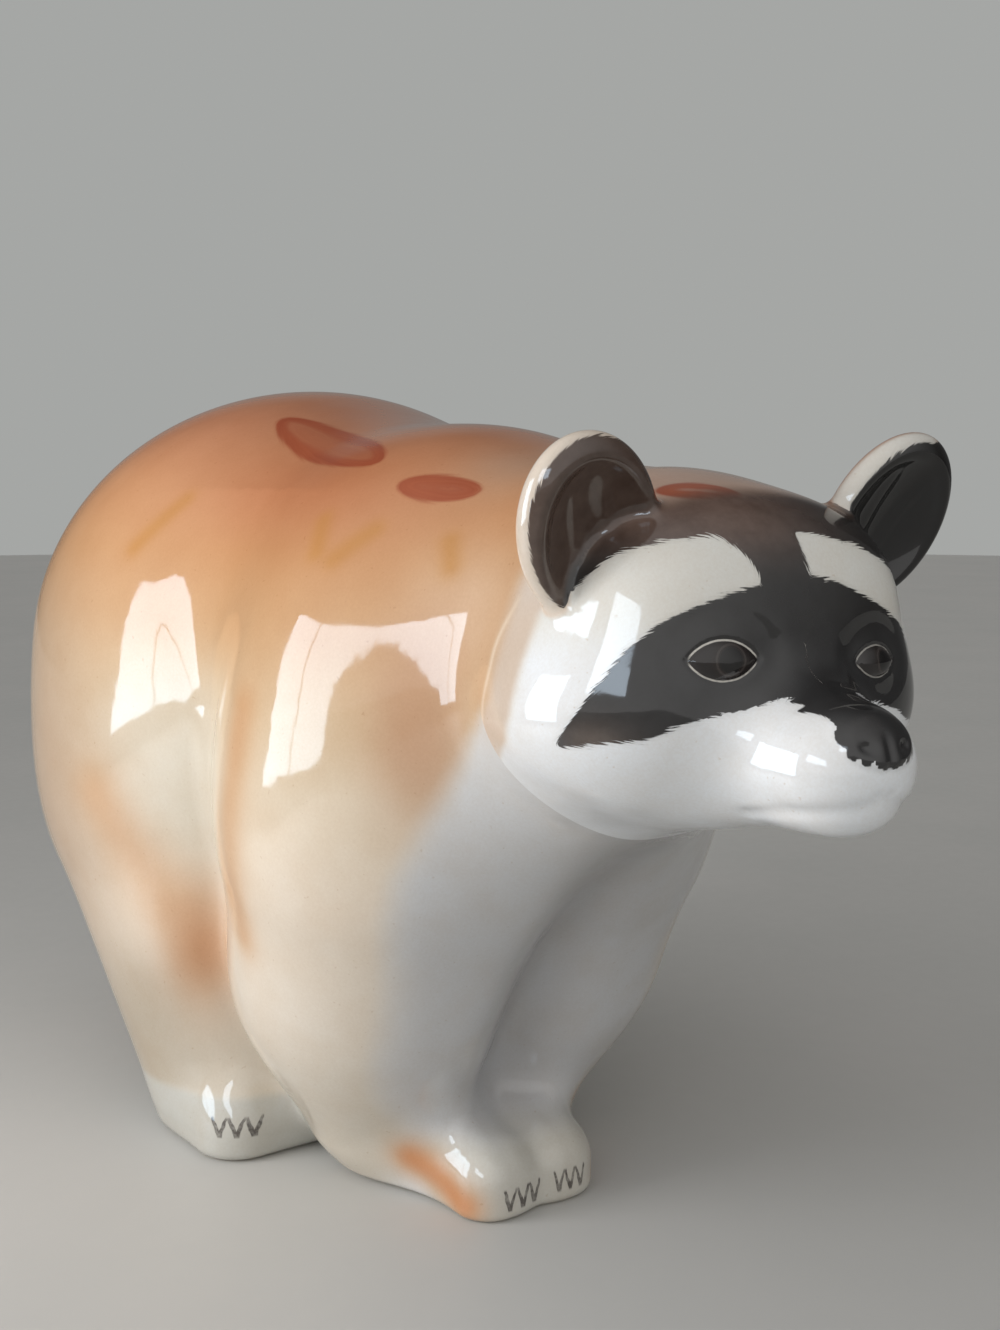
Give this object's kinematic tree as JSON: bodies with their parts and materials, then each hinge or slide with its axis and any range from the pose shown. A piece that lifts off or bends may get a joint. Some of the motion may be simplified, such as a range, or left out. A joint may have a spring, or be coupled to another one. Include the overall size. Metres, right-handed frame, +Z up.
{
  "type": "raccoon figurine",
  "caption": "Glazed porcelain raccoon figurine standing on short legs with its head low, a hollow cast tabletop ornament.",
  "frame": {"origin": "on the table plane under the soles, at the middle of the bounding box", "axes": "+Z up, the animal looks along -Y, its right side faces -X, its tail is on the +Y side"},
  "size_m": [0.0776, 0.15, 0.0959],
  "materials": {
    "body_glaze": "clear-glazed porcelain, airbrushed rust to cream",
    "head_glaze": "clear-glazed white porcelain with a brushed dark mask",
    "right_ear_glaze": "clear-glazed porcelain, dark brown inside, pale rim",
    "left_ear_glaze": "clear-glazed porcelain, dark brown inside, pale rim",
    "tail_glaze": "clear-glazed porcelain, airbrushed rust with dark rings",
    "front_right_leg_glaze": "clear-glazed porcelain, airbrushed cream",
    "front_left_leg_glaze": "clear-glazed porcelain, airbrushed cream",
    "hind_right_leg_glaze": "clear-glazed porcelain, airbrushed cream",
    "hind_left_leg_glaze": "clear-glazed porcelain, airbrushed cream"
  },
  "bodies": {
    "root": {"body_shell": "body_glaze", "head_shell": "head_glaze", "right_ear": "right_ear_glaze", "left_ear": "left_ear_glaze", "tail": "tail_glaze", "front_right_leg": "front_right_leg_glaze", "front_left_leg": "front_left_leg_glaze", "hind_right_leg": "hind_right_leg_glaze", "hind_left_leg": "hind_left_leg_glaze"}
  },
  "joints": []
}
